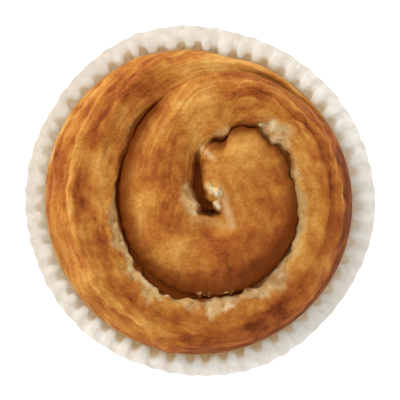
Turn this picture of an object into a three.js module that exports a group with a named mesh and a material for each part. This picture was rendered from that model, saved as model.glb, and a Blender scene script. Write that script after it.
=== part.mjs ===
// A cruffin: laminated croissant dough rolled into a coil and baked in a fluted paper muffin case.
// Two solids: the baked coil of dough, in one piece, and the paper case that it stands in.
// Millimetres and degrees, +Z up, origin at the middle of the case's flat underside.
// Angles round the coil are measured clockwise from +Y, seen from above, about the eye of the coil.
import * as THREE from "three";

// ---------------------------------------------------------------- driving dimensions

// The dough: a tapered foot inside the case and a coiled crown that rises above its rim.
const FOOT_GAP = 0.3;
const FOOT_RADIUS = 27.4;
const FOOT_CORNER = 2;
const SHOULDER_HEIGHT = 37;
const SHOULDER_RADIUS = 37.2;
const SHOULDER_CENTRE = [-0.7, -0.1];
// [lobes, bearing of one lobe, height of a lobe]
const SHOULDER_LOBES = [[2, -54, 0.42], [3, -33, 0.27]];
// The outline is flatter where the tail of the coil tucks in.
const TUCK = { bearing: 11, width: 9, depth: 0.8 };
const EYE = [3.65, -3.9];
const EYE_HEIGHT = 55;

// The paper case: a flat floor disc and a wall of pleats. The folds are deepest at the dough's
// shoulder, where the wall follows the dough's outline. Above it they open into a rim that is
// nearly smooth but not quite round.
const CASE_HEIGHT = 42;
const CASE_RIM_RADIUS = 42.8;
const CASE_THICKNESS = 0.35;
const PLEATS = 55;
const RIM_FOLD = 0.4;
const SHOULDER_FOLD = 2.2;
const SHOULDER_GAP = 0.35;
// [height, radius at the inner folds, depth of the folds, how far the wall follows the dough]
const WALL = [
  [0, 28.2, 0.5, 0],
  [3, 29.4, 0.6, 0],
  [SHOULDER_HEIGHT, SHOULDER_RADIUS + SHOULDER_GAP + CASE_THICKNESS, SHOULDER_FOLD, 1],
  [CASE_HEIGHT, CASE_RIM_RADIUS - RIM_FOLD, RIM_FOLD, 0],
];
// [lobes, bearing of one lobe, height of a lobe]
const RIM_LOBES = [[2, -37, 0.3], [3, -30, 0.28], [4, -16, 0.27], [6, -21, 0.17]];
const RIM_RISE = 0.35;

// The seam is the groove between neighbouring coils. It starts at the eye, runs round it and leaves
// the crown at the shoulder. [angle, distance from the eye]
const TURN = 360;
const SEAM_START = -55;
const SEAM_TURNS = 1.32;
const SEAM_END = SEAM_START + SEAM_TURNS * TURN;
const SEAM_PLAN = [
  [SEAM_START, 0], [-45, 3.2], [-35, 5.7], [-20, 10.8], [-8, 16.4], [12, 21.5], [24, 23.4],
  [79, 20.8], [153, 18.8], [234, 20.8], [271, 22.7], [304, 26.6], [343, 32.3], [364, 36],
  [376, 36.9], [396, 36.2], [SEAM_END, 34.4],
];
// [angle, height of the bottom of the seam]
const SEAM_DEPTH = [
  [SEAM_START, EYE_HEIGHT], [-40, 48.5], [-20, 45.5], [60, 44], [290, 44], [322, 46],
  [343, 48.6], [364, 48.2], [378, 46.2], [396, 42.8], [SEAM_END, SHOULDER_HEIGHT],
];
// [angle, height of the top of the coil]
const CREST = [
  [SEAM_START, 55.4], [60, 57], [280, 56.6], [400, 53.4], [540, 51], [680, 50.4],
  [736, 48.4], [756, 44], [SEAM_END + TURN, SHOULDER_HEIGHT],
];
const CREST_PLACE = 0.45;
// The tail of the coil stands no higher above its edges than this many times its width.
const SLENDERNESS = 0.7;
const INNER_SQUARENESS = 4;
const OUTER_SQUARENESS = 2.1;

// Folds: each is the edge of one sheet of dough that ends on top of the next.
// [from angle, to angle, place across the coil at the start, middle and end, height]
const FOLDS = [
  [128, 238, 0.7, 0.66, 0.93, 0.8],
  [364, 472, 0.72, 0.56, 0.5, 1],
  [366, 468, 0.84, 0.79, 0.84, 0.9],
  [470, 560, 0.84, 0.86, 0.8, 0.7],
  [545, 606, 0.89, 0.88, 0.84, 0.9],
  [552, 606, 0.71, 0.7, 0.66, 0.8],
  [570, 642, 0.5, 0.3, 0.12, 0.9],
  [590, 670, 0.5, 0.33, 0.48, 1],
  [588, 678, 0.72, 0.64, 0.75, 1],
  [655, 708, 0.45, 0.54, 0.86, 1],
  [634, 704, 0.83, 0.87, 0.92, 0.8],
];
const FOLD_WIDTH = 0.15;
const RAGGEDNESS = 0.7;

// Mesh fineness.
const COLUMNS = 100;
const STEPS_ACROSS = 19;
const FOOT_HEIGHTS = [30, 20, 10, FOOT_CORNER];

// ---------------------------------------------------------------- small helpers

const radians = (degrees) => THREE.MathUtils.degToRad(degrees);
const mix = THREE.MathUtils.lerp;
const smooth = THREE.MathUtils.smoothstep;

// A smooth curve through knots [x, y] that doesn't overshoot between them (monotone cubic).
function curveThrough(knots) {
  const rise = knots.slice(1).map(([x, y], i) => (y - knots[i][1]) / (x - knots[i][0]));
  const slope = knots.map((_, i) => {
    const before = rise[Math.max(i - 1, 0)];
    const after = rise[Math.min(i, rise.length - 1)];
    return before * after <= 0 ? 0 : (2 * before * after) / (before + after);
  });
  return (x) => {
    let i = knots.findIndex(([at]) => at > x) - 1;
    if (i === -2) i = knots.length - 2;
    i = Math.max(i, 0);
    const [x0, y0] = knots[i];
    const [x1, y1] = knots[i + 1];
    const w = x1 - x0;
    const t = THREE.MathUtils.clamp((x - x0) / w, 0, 1);
    return (
      y0 * (1 + 2 * t) * (1 - t) ** 2 + w * slope[i] * t * (1 - t) ** 2 +
      y1 * t * t * (3 - 2 * t) + w * slope[i + 1] * t * t * (t - 1)
    );
  };
}

const seamPlan = curveThrough(SEAM_PLAN);
const seamDepth = curveThrough(SEAM_DEPTH);
const crestHeight = curveThrough(CREST);

// Points and triangles of one closed mesh, collected by index.
class Surface {
  points = [];
  triangles = [];

  add(x, y, z) {
    this.points.push(x, y, z);
    return this.points.length / 3 - 1;
  }

  triangle(a, b, c) {
    if (a !== b && b !== c && c !== a) this.triangles.push(a, b, c);
  }

  // The quad a b c d, cut along its a-c diagonal.
  quad(a, b, c, d) {
    this.triangle(a, b, c);
    this.triangle(a, c, d);
  }

  // Two rings of equal length, joined by quads; going from lower to upper keeps faces outward
  // when the rings run clockwise, seen from above.
  join(lower, upper) {
    lower.forEach((a, i) => {
      const next = (i + 1) % lower.length;
      this.quad(a, upper[i], upper[next], lower[next]);
    });
  }

  // The same quads facing inward, for the inner skin of a wall. They are cut along the same
  // diagonals as those of the outer skin, so that the two skins of a thin wall never cross.
  line(lower, upper) {
    lower.forEach((a, i) => {
      const next = (i + 1) % lower.length;
      this.quad(a, lower[next], upper[next], upper[i]);
    });
  }

  // A ring closed by a fan to one point.
  close(ring, pole, facingUp) {
    ring.forEach((a, i) => {
      const b = ring[(i + 1) % ring.length];
      if (facingUp) this.triangle(pole, b, a);
      else this.triangle(pole, a, b);
    });
  }

  mesh(name, colour, roughness) {
    const geometry = new THREE.BufferGeometry();
    geometry.setAttribute("position", new THREE.Float32BufferAttribute(this.points, 3));
    geometry.setIndex(this.triangles);
    geometry.computeVertexNormals();
    const material = new THREE.MeshStandardMaterial({ color: colour, roughness, metalness: 0 });
    const mesh = new THREE.Mesh(geometry, material);
    mesh.name = name;
    return mesh;
  }
}

// How far a lobed circle stands out at a bearing, in radians.
function lobed(lobes, bearing) {
  const waves = lobes.map(([count, at, size]) => size * Math.cos(count * (bearing - radians(at))));
  return waves.reduce((sum, wave) => sum + wave, 0);
}

// How far the shoulder's outline stands out from its circle: the lobes and the tuck.
function swell(bearing) {
  const fromTuck = Math.sin(bearing - radians(TUCK.bearing)) / Math.sin(radians(TUCK.width));
  const tucked = Math.cos(bearing - radians(TUCK.bearing)) > 0 ? Math.exp(-(fromTuck ** 2)) : 0;
  return lobed(SHOULDER_LOBES, bearing) - TUCK.depth * tucked;
}

// ---------------------------------------------------------------- the dough

// Distance from the eye to the outline of the shoulder: a circle round SHOULDER_CENTRE and its swell.
function outline(angle) {
  const east = Math.sin(radians(angle));
  const north = Math.cos(radians(angle));
  const offset = [EYE[0] - SHOULDER_CENTRE[0], EYE[1] - SHOULDER_CENTRE[1]];
  const along = east * offset[0] + north * offset[1];
  const circle = Math.sqrt(along ** 2 + SHOULDER_RADIUS ** 2 - offset[0] ** 2 - offset[1] ** 2) - along;
  return circle + swell(Math.atan2(offset[0] + circle * east, offset[1] + circle * north));
}

// The outer edge of the coil at an angle: the seam, and past its end the shoulder.
function outerEdge(angle) {
  if (angle >= SEAM_END) return { r: outline(angle), z: SHOULDER_HEIGHT };
  // Near its end the seam eases into the shoulder, so that the strip outside it tapers away.
  const ease = smooth(angle, SEAM_END - TURN / 12, SEAM_END);
  return { r: mix(seamPlan(angle), outline(angle), ease), z: seamDepth(angle) };
}

// The inner edge of the coil: the eye for the first turn, then the seam one turn back.
function innerEdge(angle) {
  return angle < SEAM_START + TURN ? { r: 0, z: EYE_HEIGHT } : outerEdge(angle - TURN);
}

// How far the edges of the folds stand out at one place of the coil.
function foldHeight(angle, across) {
  let height = 0;
  for (const [from, to, start, middle, end, size] of FOLDS) {
    if (angle <= from || angle >= to) continue;
    const t = (angle - from) / (to - from);
    const bow = 4 * (middle - (start + end) / 2);
    const place = mix(start, end, t) + bow * t * (1 - t);
    const fade = Math.sqrt(Math.sin(Math.PI * t));
    const inside = (place - across) / FOLD_WIDTH;
    if (inside > 0) height += size * fade * Math.exp(-inside * inside);
    else height += size * fade * Math.exp(-36 * inside * inside);
  }
  return height;
}

// Torn edges: an uneven wander, in parts of RAGGEDNESS, along the inner lip of the coil.
const tear = (angle) =>
  0.5 * Math.sin(radians(23 * angle)) + 0.3 * Math.sin(radians(37 * angle + 50)) +
  0.2 * Math.sin(radians(11 * angle + 200));

// One section of the coil, from its inner edge over the crest to its outer edge, as [distance from
// the eye, height]. Both sides are quarters of a superellipse, squarer on the inner side.
function section(angle) {
  const inner = innerEdge(angle);
  const outer = outerEdge(angle);
  const width = outer.r - inner.r;
  const edge = Math.max(inner.z, outer.z);
  const crest = edge + THREE.MathUtils.clamp(crestHeight(angle) - edge, 0, SLENDERNESS * width);
  const walled = smooth(angle, SEAM_START + TURN - 15, SEAM_START + TURN + 25);
  const points = [];
  for (let j = 0; j <= STEPS_ACROSS; j++) {
    const t = j / STEPS_ACROSS;
    let across;
    let z;
    if (t < CREST_PLACE) {
      const turn = ((t / CREST_PLACE) * Math.PI) / 2;
      const cut = 2 / mix(2, INNER_SQUARENESS, walled);
      const wallAcross = CREST_PLACE * (1 - Math.cos(turn) ** cut);
      const wallRise = Math.sin(turn) ** cut;
      // In the first turn there is no wall: the top runs smoothly down to the eye.
      across = mix(t, wallAcross, walled);
      z = mix(inner.z, crest, mix(Math.sin(turn) ** 2, wallRise, walled));
    } else {
      const turn = (((t - CREST_PLACE) / (1 - CREST_PLACE)) * Math.PI) / 2;
      const cut = 2 / OUTER_SQUARENESS;
      across = CREST_PLACE + (1 - CREST_PLACE) * Math.sin(turn) ** cut;
      z = mix(outer.z, crest, Math.max(Math.cos(turn), 0) ** cut);
    }
    points.push({ across, r: mix(inner.r, outer.r, across), z });
  }
  // Folds stand out along the section's own normal, and the torn lip wanders sideways.
  return points.map((p, j) => {
    if (j === 0 || j === STEPS_ACROSS) return [p.r, p.z];
    const dr = points[j + 1].r - points[j - 1].r;
    const dz = points[j + 1].z - points[j - 1].z;
    const length = Math.hypot(dr, dz);
    const out = foldHeight(angle, p.across) * Math.min(1, width / 8);
    const lip = walled * RAGGEDNESS * tear(angle) * Math.exp(-p.across / 0.08) * Math.min(1, width / 12);
    return [p.r - (out * dz) / length + lip, p.z + (out * dr) / length];
  });
}

function makeDough() {
  const surface = new Surface();
  const step = TURN / COLUMNS;
  const seamColumns = Math.round((SEAM_END - SEAM_START) / step);
  const lastColumn = seamColumns + COLUMNS;
  const eye = surface.add(...EYE, EYE_HEIGHT);

  // The coil, column by column outwards from the eye. A column's inner edge is the outer edge of
  // the column one turn back, and the last column has run out to nothing at the seam's end.
  const columns = [Array(STEPS_ACROSS + 1).fill(eye)];
  for (let i = 1; i < lastColumn; i++) {
    const angle = SEAM_START + i * step;
    const east = Math.sin(radians(angle));
    const north = Math.cos(radians(angle));
    const inner = i < COLUMNS ? eye : columns[i - COLUMNS][STEPS_ACROSS];
    columns.push(
      section(angle).map(([r, z], j) =>
        j === 0 ? inner : surface.add(EYE[0] + r * east, EYE[1] + r * north, z),
      ),
    );
  }
  columns.push(Array(STEPS_ACROSS + 1).fill(columns[seamColumns][STEPS_ACROSS]));
  for (let i = 0; i < lastColumn; i++)
    for (let j = 0; j < STEPS_ACROSS; j++)
      surface.quad(columns[i][j], columns[i + 1][j], columns[i + 1][j + 1], columns[i][j + 1]);

  // The foot: rings that taper from the shoulder to the flat underside.
  const underside = CASE_THICKNESS + FOOT_GAP;
  const shoulder = columns.slice(seamColumns, lastColumn).map((column) => column[STEPS_ACROSS]);
  const footPoint = (top, radius, z) => {
    const [x, y] = [surface.points[3 * top], surface.points[3 * top + 1]];
    const share = (SHOULDER_HEIGHT - z) / (SHOULDER_HEIGHT - underside);
    const scale = radius / Math.hypot(x, y);
    return surface.add(mix(x, x * scale, share), mix(y, y * scale, share), z);
  };
  let ring = shoulder;
  for (const z of FOOT_HEIGHTS) {
    const lower = shoulder.map((top) => footPoint(top, FOOT_RADIUS, z));
    surface.join(lower, ring);
    ring = lower;
  }
  const base = shoulder.map((top) => footPoint(top, FOOT_RADIUS - FOOT_CORNER, underside));
  surface.join(base, ring);
  surface.close(base, surface.add(0, 0, underside), false);
  return surface.mesh("pastry", 0xbd7937, 0.55);
}

// ---------------------------------------------------------------- the paper case

// An uneven number from -1 to 1 for each pleat, so that no two pleats are alike.
const uneven = (pleat) => 0.6 * Math.sin(2.4 * pleat) + 0.4 * Math.sin(5.3 * pleat + 1);

// One pleat is an outer flat, a flank, an inner flat and a flank: [share of the pleat, outward 1 or 0].
const PLEAT_CORNERS = [[0, 1], [0.28, 1], [0.5, 0], [0.78, 0]];

function makeCase() {
  const surface = new Surface();
  const ring = ([height, innerFold, depth, follow], inwards, lift) => {
    const up = height / CASE_HEIGHT;
    const made = [];
    for (let pleat = 0; pleat < PLEATS; pleat++)
      for (const [share, outward] of PLEAT_CORNERS) {
        const bearing = radians(((pleat + share + 0.06 * uneven(pleat)) * TURN) / PLEATS);
        const wander = follow * swell(bearing) + (1 - follow) * up * up * lobed(RIM_LOBES, bearing);
        const fold = outward * depth * (1 + 0.08 * uneven(pleat + 0.5));
        const r = innerFold + wander + fold - inwards;
        const x = follow * SHOULDER_CENTRE[0] + r * Math.sin(bearing);
        const y = follow * SHOULDER_CENTRE[1] + r * Math.cos(bearing);
        const rise = RIM_RISE * up ** 4 * Math.sin(3 * bearing + 1);
        made.push(surface.add(x, y, height + rise + lift));
      }
    return made;
  };
  const outside = WALL.map((level) => ring(level, 0, 0));
  const inside = WALL.map((level, i) => ring(level, CASE_THICKNESS, i === 0 ? CASE_THICKNESS : 0));
  for (let i = 1; i < WALL.length; i++) {
    surface.join(outside[i - 1], outside[i]);
    surface.line(inside[i - 1], inside[i]);
  }
  surface.join(outside.at(-1), inside.at(-1));
  surface.close(outside[0], surface.add(0, 0, 0), false);
  surface.close(inside[0], surface.add(0, 0, CASE_THICKNESS), true);
  return surface.mesh("paper_case", 0xeae4da, 0.85);
}

const cruffin = new THREE.Group();
cruffin.name = "cruffin";
cruffin.add(makeDough(), makeCase());

export default cruffin;
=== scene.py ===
# %% [markdown]
# # A cruffin in its paper case
# A cruffin is a strip of laminated croissant dough, rolled into a coil and baked in a muffin tin lined with
# a fluted paper case. Everything here is worked out from one idea: the coil is a strip whose every place is
# given by two numbers, the angle round the eye of the coil and the share of the way across the strip. Shape,
# browning and torn edges are all written in those two numbers, so each stays on its own piece of dough.

import bpy
import numpy as np
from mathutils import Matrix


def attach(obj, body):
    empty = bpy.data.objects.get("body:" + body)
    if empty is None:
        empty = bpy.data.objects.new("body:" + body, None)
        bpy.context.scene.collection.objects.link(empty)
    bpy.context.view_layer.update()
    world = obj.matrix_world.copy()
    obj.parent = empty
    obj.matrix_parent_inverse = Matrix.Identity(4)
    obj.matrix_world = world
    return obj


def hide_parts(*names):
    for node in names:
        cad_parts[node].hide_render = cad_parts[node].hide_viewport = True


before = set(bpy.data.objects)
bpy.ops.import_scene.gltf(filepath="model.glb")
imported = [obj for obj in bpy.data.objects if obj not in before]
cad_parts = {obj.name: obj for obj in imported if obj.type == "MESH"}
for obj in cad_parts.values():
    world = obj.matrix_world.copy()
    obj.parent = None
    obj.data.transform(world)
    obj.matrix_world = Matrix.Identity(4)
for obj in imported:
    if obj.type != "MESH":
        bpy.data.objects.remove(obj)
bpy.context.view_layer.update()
MM = 0.001
TURN = 360.0
TINY = 1e-9
print("nodes", sorted(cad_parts))

# %% [markdown]
# ## The camera
# The photograph looks straight down. A long lens from far away keeps the crown, which stands nearer to the
# camera than the rim, from looking larger than it is. The rim of the case sets the framing: its real size
# and its size in the picture give the width that the picture covers.

# %% The camera, straight above
PICTURE_PIXELS = 400
RIM_RADIUS_PIXELS = 176
RIM_RADIUS = 42.8
RIM_HEIGHT = 42.0
ORIGIN_PIXEL = (199.0, 201.0)
CAMERA_HEIGHT = 900.0
SENSOR_WIDTH = 36.0
FAR_LIMIT = 10000.0

mm_per_pixel = RIM_RADIUS / RIM_RADIUS_PIXELS
camera_data = bpy.data.cameras.new("camera")
camera_data.sensor_width = SENSOR_WIDTH
camera_data.lens = SENSOR_WIDTH * (CAMERA_HEIGHT - RIM_HEIGHT) / (PICTURE_PIXELS * mm_per_pixel)
camera_data.clip_end = FAR_LIMIT * MM
camera = bpy.data.objects.new("camera", camera_data)
camera.location = (
    (PICTURE_PIXELS / 2 - ORIGIN_PIXEL[0]) * mm_per_pixel * MM,
    (ORIGIN_PIXEL[1] - PICTURE_PIXELS / 2) * mm_per_pixel * MM,
    CAMERA_HEIGHT * MM,
)
bpy.context.scene.collection.objects.link(camera)
bpy.context.scene.camera = camera
print("lens", round(camera_data.lens, 1), "mm,", round(mm_per_pixel, 4), "mm to a pixel")

# %% [markdown]
# ## Smooth curves and uneven numbers
# A baker's coil is never a perfect spiral, so its seam is a smooth curve through a few measured places. The
# curve is a monotone cubic, which never overshoots between them. Unevenness comes from sums of sine waves in
# random directions: they are smooth, cheap for whole arrays, and the same on every run.

# %% Helpers for curves and waves
WAVE_SIZES = (0.7, 1.5)
WAVE_STRENGTH = 0.7


def curve_through(*knots):
    """A function that runs smoothly through knots (x, y): cubic Hermite pieces, harmonic-mean slopes."""
    x, y = np.array(knots, float).T
    rise = np.diff(y) / np.diff(x)
    before, after = np.r_[rise[0], rise], np.r_[rise, rise[-1]]
    product, total = before * after, before + after
    slope = np.where(product > 0, 2 * product / np.where(total == 0, 1, total), 0)

    def curve(at):
        at = np.asarray(at, float)
        i = np.clip(np.searchsorted(x, at, side="right") - 1, 0, len(x) - 2)
        w = x[i + 1] - x[i]
        t = np.clip((at - x[i]) / w, 0, 1)
        start = y[i] * (1 + 2 * t) * (1 - t) ** 2 + w * slope[i] * t * (1 - t) ** 2
        return start + y[i + 1] * t * t * (3 - 2 * t) + w * slope[i + 1] * t * t * (t - 1)

    return curve


def smooth(x, low, high):
    """0 below low, 1 above high, and an S-shaped cubic between."""
    t = np.clip((np.asarray(x, float) - low) / (high - low), 0, 1)
    return t * t * (3 - 2 * t)


def bell(x, centre, width):
    """A bell curve of height 1 that falls to 1/e at width on each side of its centre."""
    return np.exp(-(((x - centre) / width) ** 2))


def mix(a, b, share):
    """a where share is 0, b where it is 1, and a straight line between."""
    return a + (b - a) * share


def waves(points, size, seed, count=26):
    """Smooth uneven numbers, mostly from -1 to 1: a sum of count sine waves of about the given size, each in
    its own direction. points has its coordinates in the last axis, in the same unit as size."""
    draw = np.random.default_rng(seed)
    directions = draw.normal(size=(count, points.shape[-1]))
    directions /= np.linalg.norm(directions, axis=1, keepdims=True)
    numbers = 2 * np.pi / (size * draw.uniform(*WAVE_SIZES, count))
    phases = draw.uniform(0, 2 * np.pi, count)
    total = np.zeros(points.shape[:-1])
    for direction, number, phase in zip(directions, numbers, phases):
        total += np.sin(points @ direction * number + phase)
    return total * np.sqrt(2 / count) * WAVE_STRENGTH


def uneven(points, *layers):
    """Waves of several sizes, one on top of the other. Each layer is (height, size, seed)."""
    return sum(height * waves(points, size, seed) for height, size, seed in layers)


# %% [markdown]
# ## The coil of dough in plan
# The seam is the dark groove between neighbouring turns. It starts at the eye, goes round 1.32 turns and
# runs out at the shoulder, the widest part of the crown. The strip between two passes of the seam is the
# dough. The seam is a torn edge, so it also wobbles a little where it is open. Angles are clockwise from the
# top of the picture, in degrees, and everything else is in millimetres.

# %% Measured places of the crown
EYE = np.array([3.65, -3.9])
EYE_HEIGHT = 55.0
SEAM_START = -55.0
SEAM_TURNS = 1.32
SEAM_END = SEAM_START + SEAM_TURNS * TURN
RUN_OUT = 30.0
WOBBLE_LENGTH = 10.0
SHOULDER_HEIGHT = 37.0
SHOULDER_RADIUS = 37.4
SHOULDER_CENTRE = np.array([-0.35, -0.15])
SHOULDER_LOBES = [(2, -54, 0.42), (3, -33, 0.27)]
TUCK_BEARING, TUCK_WIDTH, TUCK_DEPTH = 11, 9, 0.8

seam_plan = curve_through(
    (SEAM_START, 0), (-45, 3.2), (-35, 5.7), (-20, 10.8), (-8, 16.1), (-1, 17.8), (7, 18.4), (9.5, 19.2),
    (11, 21.1), (13, 22.1), (18, 22.8), (24, 23.5), (29, 23.3), (32, 22.6), (37, 22.5), (42, 22.6),
    (48, 22.6), (53, 22), (58, 21.1), (79, 20.6), (153, 18.8), (234, 20.6), (271, 22.6), (304, 26.0),
    (325, 29.4), (343, 32.2), (364, 35.4), (376, 36.0), (396, 35.2), (SEAM_END, 34.2),
)
seam_depth = curve_through(
    (SEAM_START, EYE_HEIGHT), (-40, 52), (-22, 52.3), (-12, 53.7), (-5, 53.3), (1, 52.1), (12, 51.9),
    (40, 51.4), (60, 50.4), (120, 49.2), (290, 48.6), (324, 48.4), (335, 48.8), (342, 50.1), (350, 50.1),
    (364, 49), (378, 46.2), (396, 42.8), (SEAM_END, SHOULDER_HEIGHT),
)
seam_wobble = curve_through(
    (SEAM_START, 0), (-5, 0.12), (20, 0.25), (60, 0.22), (80, 0.1), (310, 0.12), (345, 0),
)
crest_height = curve_through(
    (SEAM_START, 55.4), (60, 57), (280, 56.6), (400, 53.4), (540, 51), (680, 50.4),
    (736, 47.6), (756, 43), (SEAM_END + TURN, SHOULDER_HEIGHT),
)
SLENDERNESS = 0.7


# %% The edges of the strip
def lobed(lobes, bearing):
    """How far a lobed circle stands out at a bearing in radians: a sum of cosines (count, at, size)."""
    return sum(size * np.cos(count * (bearing - np.radians(at))) for count, at, size in lobes)


def swell(bearing):
    """How far the shoulder stands out from its circle: the lobes, less a bell where the tail tucks in."""
    from_tuck = bearing - np.radians(TUCK_BEARING)
    tucked = np.exp(-((np.sin(from_tuck) / np.sin(np.radians(TUCK_WIDTH))) ** 2)) * (np.cos(from_tuck) > 0)
    return lobed(SHOULDER_LOBES, bearing) - TUCK_DEPTH * tucked


def outline(angle):
    """Distance from the eye to the shoulder: where a ray meets the shoulder's circle, plus its swell."""
    east, north = np.sin(np.radians(angle)), np.cos(np.radians(angle))
    offset = EYE - SHOULDER_CENTRE
    forward = east * offset[0] + north * offset[1]
    circle = np.sqrt(forward**2 + SHOULDER_RADIUS**2 - offset @ offset) - forward
    return circle + swell(np.arctan2(offset[0] + circle * east, offset[1] + circle * north))


def outer_edge(angle):
    """Distance and height of the strip's outer edge: the seam with its small wobble, easing into the
    shoulder past its end."""
    wobble = waves(np.asarray(angle, float)[..., None], WOBBLE_LENGTH, 35)
    seam = seam_plan(angle) + seam_wobble(angle) * wobble
    r = mix(seam, outline(angle), smooth(angle, SEAM_END - RUN_OUT, SEAM_END))
    return r, np.where(angle >= SEAM_END, SHOULDER_HEIGHT, seam_depth(angle))


def inner_edge(angle):
    """The eye for the first turn, then the seam one turn back."""
    r, z = outer_edge(angle - TURN)
    first = angle < SEAM_START + TURN
    return np.where(first, 0, r), np.where(first, EYE_HEIGHT, z)


# %% [markdown]
# ## Across the strip
# Cut across, each turn is a rounded loaf: steep and square where it faces the seam inside it, because that
# side was cut, and round on its outer side. Each side is a quarter of a superellipse. The grid is about as
# fine as a pixel of the picture, so that torn edges and folds can be real relief and not only a pattern.

# %% The grid of the coil
COLUMNS = 525
STEPS_ACROSS = 60
CREST_PLACE = 0.45
INNER_SQUARENESS = 3.6
FINER_AT_WALL = 0.4
WALL_BEGINS, WALL_ENDS = (338, 360), (694, 706)
outer_squareness = curve_through(
    (-60, 2.4), (-20, 3), (5, 3), (50, 2.6), (80, 2.1), (120, 1.75), (290, 1.75), (340, 2.1), (800, 2.1)
)

last = round((SEAM_TURNS + 1) * COLUMNS)
angle = (SEAM_START + np.arange(last + 1) * TURN / COLUMNS)[:, None] * np.ones(STEPS_ACROSS + 1)
step = np.ones((last + 1, 1)) * np.linspace(0, 1, STEPS_ACROSS + 1)
walled = smooth(angle, *WALL_BEGINS) * (1 - smooth(angle, *WALL_ENDS))


def section(angle, step):
    """The share across, the distance from the eye, the height, and the strip's width and crest at each step.
    Left of the crest: across = c (1 - cos^(2/n)), height = sin^(2/n), n easing from a smooth top in the
    first turn to a square wall. Right of it: a rounder quarter of the same kind."""
    r_in, z_in = inner_edge(angle)
    r_out, z_out = outer_edge(angle)
    edge = np.maximum(z_in, z_out)
    crest = edge + np.clip(crest_height(angle) - edge, 0, SLENDERNESS * (r_out - r_in))
    rising = np.pi / 2 * np.clip(step / CREST_PLACE, 0, 1) ** (1 + FINER_AT_WALL * walled)
    cut = 2 / (2 + (INNER_SQUARENESS - 2) * walled)
    across_left = mix(step, CREST_PLACE * (1 - np.clip(np.cos(rising), 0, 1) ** cut), walled)
    rise_left = mix(np.sin(rising) ** 2, np.sin(rising) ** cut, walled)
    falling = np.pi / 2 * np.clip((step - CREST_PLACE) / (1 - CREST_PLACE), 0, 1)
    cut = 2 / outer_squareness(angle)
    across_right = CREST_PLACE + (1 - CREST_PLACE) * np.sin(falling) ** cut
    fall_right = np.clip(np.cos(falling), 0, 1) ** cut
    left = step < CREST_PLACE
    across = np.where(left, across_left, across_right)
    z = np.where(left, mix(z_in, crest, rise_left), mix(z_out, crest, fall_right))
    return across, mix(r_in, r_out, across), z, r_out - r_in, crest


across, distance, height, width, crest = section(angle, step)
across_mm = across * width
print("coil grid", across.shape, "widest strip", round(float(width.max()), 1), "mm")

# %% [markdown]
# ## The torn lip
# Where the strip was cut, its inner lip has torn open in the oven. In places the groove also gapes wider.
# The lip wanders in and out, most where it is torn, and the browned skin stops short of it in a ragged line,
# past which the pale crumb shows. All of it is read off the photograph as a few places along the strip.

# %% How far the groove gapes and the crumb shows
LIP_REACH = 0.09
LIP_ROOT = 0.04
FULL_WIDTH = 12.0
# The share across that the crumb reaches where the lip is whole, and where it is fully torn.
WHOLE_LIP, TORN_LIP = 0.05, 0.2

gape = curve_through(
    (348, 0), (360, 0.4), (380, 0.3), (392, 0.3), (400, 0.4), (408, 0.9), (416, 0.5), (421, 0),
    (437, -0.3), (452, -0.3), (470, 0), (488, 0.5), (495, 0.3), (507, 0.9), (512, 0.3), (516, -0.5),
    (521, 0.3), (540, 0.2), (560, 1.2), (570, 3.0), (586, 2.8), (592, 1.2), (600, 0.7), (625, 0.4),
    (640, 0.2), (655, 0),
)
crumb_reach = curve_through(
    (352, -0.05), (360, 0.04), (380, 0.03), (386, 0.1), (391, 0.26), (397, 0.34), (403, 0.22),
    (411, 0.15), (418, 0.17), (430, 0.1), (445, 0.12), (470, 0.13), (485, 0.2), (500, 0.33),
    (512, 0.27), (522, 0.12), (532, 0.26), (545, 0.22), (558, 0.18), (572, 0.23), (590, 0.23), (602, 0.2),
    (610, 0.12), (620, 0.16), (632, 0.13), (642, 0.05), (655, 0.02), (664, 0.02), (675, 0.09),
    (684, 0.06), (694, -0.05), (720, -0.05),
)


def place(angle, distance, height):
    """Points in millimetres from an angle and a distance about the eye and a height."""
    east, north = np.sin(np.radians(angle)), np.cos(np.radians(angle))
    return np.stack([EYE[0] + distance * east, EYE[1] + distance * north, height], axis=-1)


first_points = place(angle, distance, height)
torn = smooth(crumb_reach(angle), WHOLE_LIP, TORN_LIP)
wander = uneven(first_points, (0.35, 9, 11))
wander = wander + torn * uneven(first_points, (0.4, 3.6, 12), (0.15, 1.5, 13))
wide_enough = np.clip(width / FULL_WIDTH, 0, 1)
lip = walled * wide_enough * (gape(angle) + wander) * np.exp(-across / LIP_REACH)
distance = distance + np.where(step < CREST_PLACE, lip * smooth(step, 0, LIP_ROOT), 0)
smooth_coil = place(angle, distance, height)
plan = smooth_coil[..., :2]

# %% [markdown]
# ## The slit
# In the middle the coil has not closed: a deep slit runs down to a foot beside the eye. It is cut from
# above: wherever a point lies nearer to a line than the cut's half width, it drops. Beside it the dough is
# bevelled where it tore, and two lumps of white crumb stand out. Lines are short lists of places, each
# (east, north, half width).

# %% Cuts seen from above
SLIT = [
    (-0.4, 11.2, 0.1), (-0.3, 9.2, 0.7), (-0.1, 6.5, 1.3), (-0.2, 3.6, 1.7), (0.9, 0.8, 1.2),
    (1.7, -1.3, 1.7),
]
SLIT_FOOT = [(0.6, -2.5, 0.7), (2.8, -2.6, 0.9), (4.9, -3.1, 0.5)]
BEVEL = [(2.6, 3.4, 0.4), (3.6, 0.8, 0.8), (5.2, -2.4, 0.8), (6.8, -5.2, 0.4)]
SLIT_FLOOR = 50.6
BEVEL_DEPTH = 0.9
LUMPS = [[(2.4, 3.5, 0.8), (3.4, 2.6, 1.1), (4.3, 1.7, 0.6)], [(4.3, -0.6, 0.7), (4.7, -1.8, 0.8)]]
LUMP_HEIGHT = 1.2
WHITE_CRUMB = -0.3
# A stroke's edge: whole at the first distance from its outline, in mm, and gone at the second.
SLIT_EDGE, BEVEL_EDGE, LUMP_EDGE = (-1.0, 0.6), (-0.5, 0.9), (-0.6, 0.3)
SLIT_RAGGED, LUMP_RAGGED = 0.7, 1.2


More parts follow.
